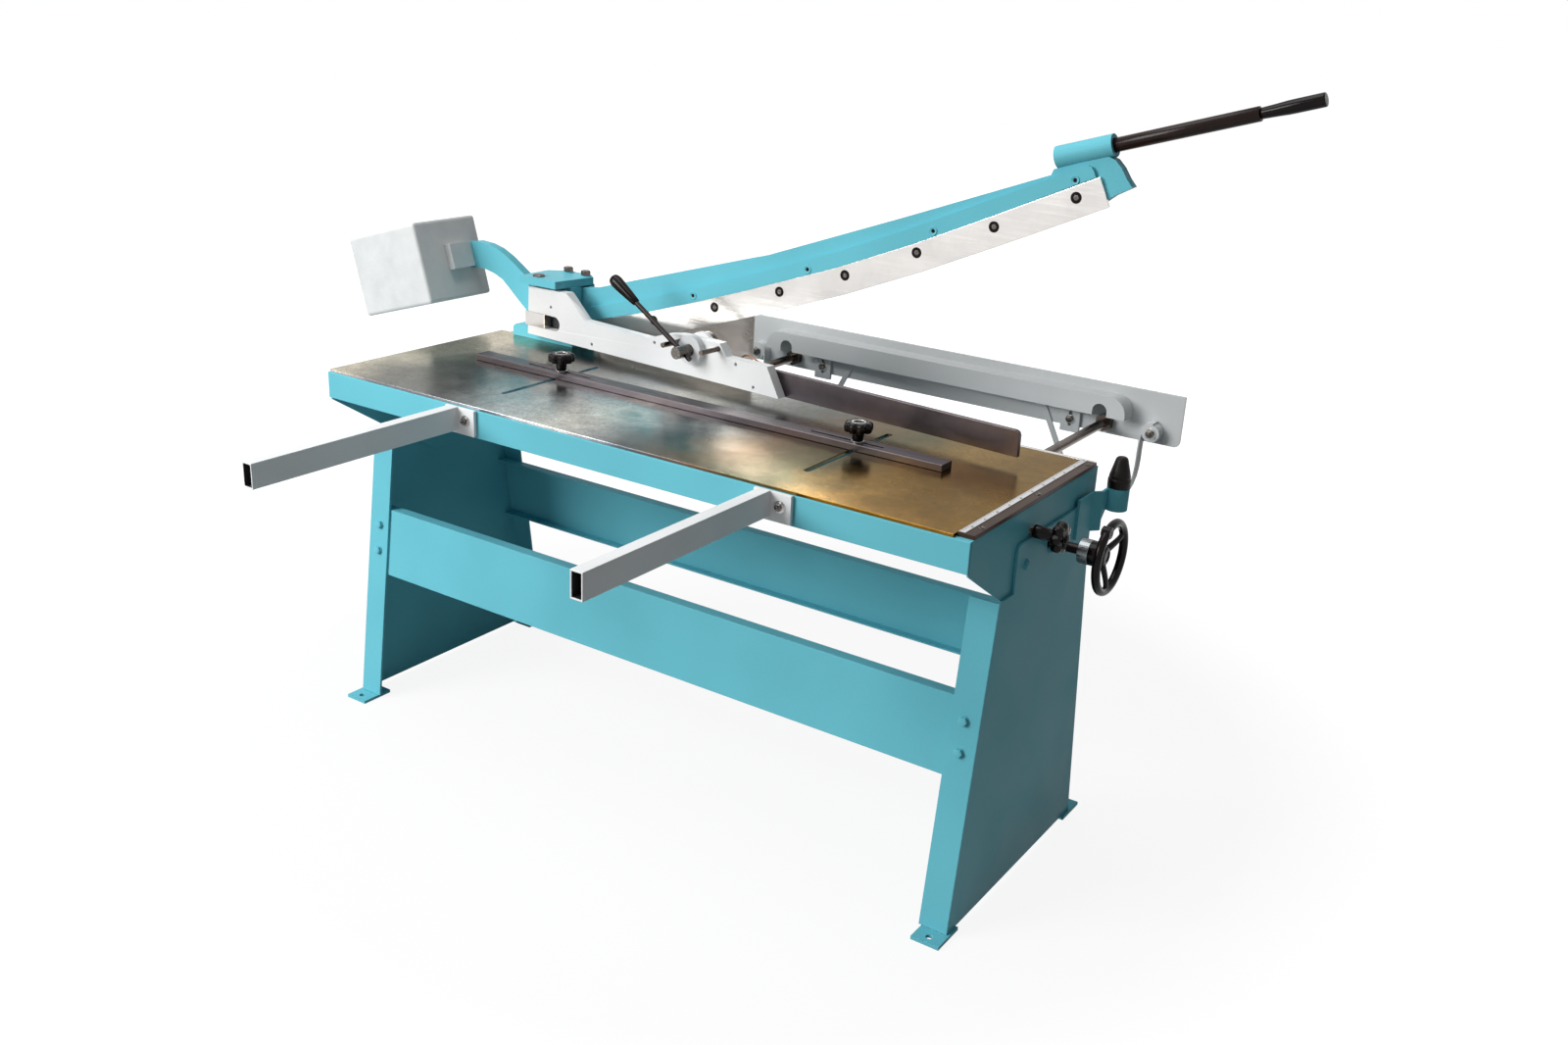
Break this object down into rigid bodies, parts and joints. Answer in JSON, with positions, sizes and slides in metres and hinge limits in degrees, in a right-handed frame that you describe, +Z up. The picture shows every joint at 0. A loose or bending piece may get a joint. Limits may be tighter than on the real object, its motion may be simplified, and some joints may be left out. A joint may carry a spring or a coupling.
{
  "type": "lever guillotine shear",
  "caption": "Floor-standing lever shear with a counterweighted knife arm, table, hold-down beam, front and rear gauges on a folded-sheet stand.",
  "frame": {"origin": "on the floor, under the middle of the whole machine's bounding box", "axes": "+X to the operator's right along the table, -Y towards the operator, +Z up"},
  "size_m": [2.3778, 1.6326, 1.5979],
  "materials": {
    "teal_enamel": "textured enamel",
    "ground_steel": "ground",
    "dark_steel": "dark polished",
    "white_enamel": "smooth enamel",
    "grey_enamel": "smooth enamel",
    "black_plastic": "moulded",
    "rubber": "moulded",
    "smoked_plastic": "smoked transparent sheet"
  },
  "bodies": {
    "frame": {"left_leg": "teal_enamel", "right_leg": "teal_enamel", "left_front_foot": "teal_enamel", "left_rear_foot": "teal_enamel", "right_front_foot": "teal_enamel", "right_rear_foot": "teal_enamel", "front_stretcher": "teal_enamel", "rear_stretcher": "teal_enamel", "table_frame": "teal_enamel", "table_front_rail": "teal_enamel", "table_rear_beam": "teal_enamel", "table_plate": "ground_steel", "lower_knife": "ground_steel", "squaring_bar": "dark_steel", "rule_strip": "white_enamel", "left_support_arm": "grey_enamel", "right_support_arm": "grey_enamel", "pivot_pedestal": "teal_enamel", "pivot_rear_cheek": "teal_enamel", "rear_guard": "smoked_plastic", "pivot_pin": "ground_steel", "pivot_cap_plate": "teal_enamel", "left_rack_housing": "dark_steel", "right_rack_housing": "dark_steel", "bumper_bracket": "teal_enamel", "rubber_buffer": "rubber"},
    "knife_arm": {"knife_arm": "teal_enamel", "upper_knife": "ground_steel", "knife_clamp_strip": "teal_enamel", "handle_tube": "dark_steel", "handle_grip": "black_plastic", "counterweight_neck": "teal_enamel", "counterweight_bracket": "grey_enamel", "counterweight": "grey_enamel"},
    "clamp_slide": {"slide_block": "ground_steel"},
    "hold_down": {"hold_down_plate": "white_enamel", "presser_bar": "dark_steel", "left_stop_pin": "dark_steel", "right_stop_pin": "dark_steel"},
    "clamp_lever": {"lever_shaft": "dark_steel", "lever_rod": "dark_steel", "lever_disc": "ground_steel", "lever_grip": "black_plastic"},
    "front_gauge": {"front_gauge_bar": "dark_steel"},
    "left_knob": {"left_gauge_knob": "black_plastic"},
    "right_knob": {"right_gauge_knob": "black_plastic"},
    "rear_gauge": {"left_gauge_rod": "ground_steel", "right_gauge_rod": "ground_steel", "rear_gauge_plate": "grey_enamel", "gauge_cover": "grey_enamel", "left_slotted_bracket": "grey_enamel", "right_slotted_bracket": "grey_enamel", "left_gauge_brace": "grey_enamel", "right_gauge_brace": "grey_enamel", "left_strap": "grey_enamel", "right_strap": "grey_enamel"},
    "handwheel": {"handwheel": "black_plastic", "cross_shaft": "dark_steel", "wheel_collar": "ground_steel"},
    "lock_knob": {"lock_knob": "black_plastic"}
  },
  "joints": [
    {"name": "arm_pivot", "type": "hinge", "parent": "frame", "child": "knife_arm", "pos_m": [-0.56051, 0.29135, 0.925], "axis": [0, 1, 0], "range_deg": [0, 20.4]},
    {"name": "beam_lift", "type": "slide", "parent": "frame", "child": "clamp_slide", "axis": [0, 0, 1], "range_m": [-0.018, 0]},
    {"name": "beam_swing", "type": "hinge", "parent": "clamp_slide", "child": "hold_down", "pos_m": [-0.61996, 0.24405, 0.911], "axis": [0, 0, 1], "range_deg": [0, 4.8]},
    {"name": "clamp_lever", "type": "hinge", "parent": "hold_down", "child": "clamp_lever", "pos_m": [-0.08987, 0.18699, 0.936], "axis": [0.0837, 0.9965, 0], "range_deg": [-0.1, 126.1]},
    {"name": "front_gauge_slide", "type": "slide", "parent": "frame", "child": "front_gauge", "axis": [0, 1, 0], "range_m": [-0.18, 0.075]},
    {"name": "left_knob_turn", "type": "hinge", "parent": "front_gauge", "child": "left_knob", "pos_m": [-0.35351, 0.03135, 0.8655], "axis": [0, 0, 1], "range_deg": [-180, 180]},
    {"name": "right_knob_turn", "type": "hinge", "parent": "front_gauge", "child": "right_knob", "pos_m": [0.44649, 0.03135, 0.8655], "axis": [0, 0, 1], "range_deg": [-180, 180]},
    {"name": "rear_gauge_slide", "type": "slide", "parent": "frame", "child": "rear_gauge", "axis": [0, 1, 0], "range_m": [-0.27, 0]},
    {"name": "handwheel_turn", "type": "hinge", "parent": "frame", "child": "handwheel", "pos_m": [0.99449, 0.06135, 0.7455], "axis": [1, 0, 0], "range_deg": [-1, 967.87]},
    {"name": "lock_knob_turn", "type": "hinge", "parent": "frame", "child": "lock_knob", "pos_m": [0.87199, -0.02365, 0.7925], "axis": [1, 0, 0], "range_deg": [0, 360]}
  ],
  "couplings": [
    {"joint": "clamp_lever", "follows": "beam_lift", "rad_per_m": -122.17},
    {"joint": "handwheel_turn", "follows": "rear_gauge_slide", "rad_per_m": -62.5}
  ]
}
